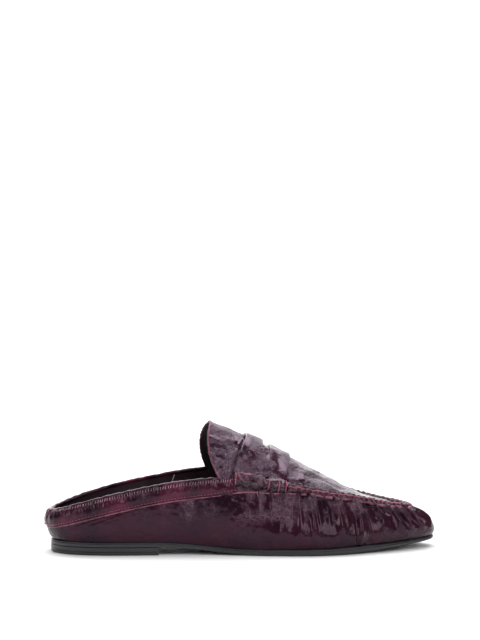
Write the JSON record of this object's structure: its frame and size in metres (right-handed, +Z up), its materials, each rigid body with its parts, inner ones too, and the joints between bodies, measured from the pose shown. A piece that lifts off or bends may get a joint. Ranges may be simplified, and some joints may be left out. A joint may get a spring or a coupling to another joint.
{
  "type": "loafer mule",
  "caption": "Right loafer mule: hollow upper with a low gathered back, tall tongue, slotted strap and raised apron seam, on a thin arched sole with a low heel.",
  "frame": {"origin": "on the floor, under the middle of the heel's rest face", "axes": "+X towards the toe, +Y towards the inner side of the foot, +Z up"},
  "size_m": [0.2629, 0.083, 0.0863],
  "materials": {
    "upper": "patent",
    "collar_binding": "patent",
    "penny_strap": "patent",
    "moc_seam": "patent",
    "side_roll_outer": "patent",
    "side_roll_inner": "patent",
    "insole": "matte",
    "outsole": "satin",
    "heel": "satin"
  },
  "bodies": {
    "root": {"upper": "upper", "collar_binding": "collar_binding", "penny_strap": "penny_strap", "moc_seam": "moc_seam", "side_roll_outer": "side_roll_outer", "side_roll_inner": "side_roll_inner", "insole": "insole", "outsole": "outsole", "heel": "heel"}
  },
  "joints": []
}
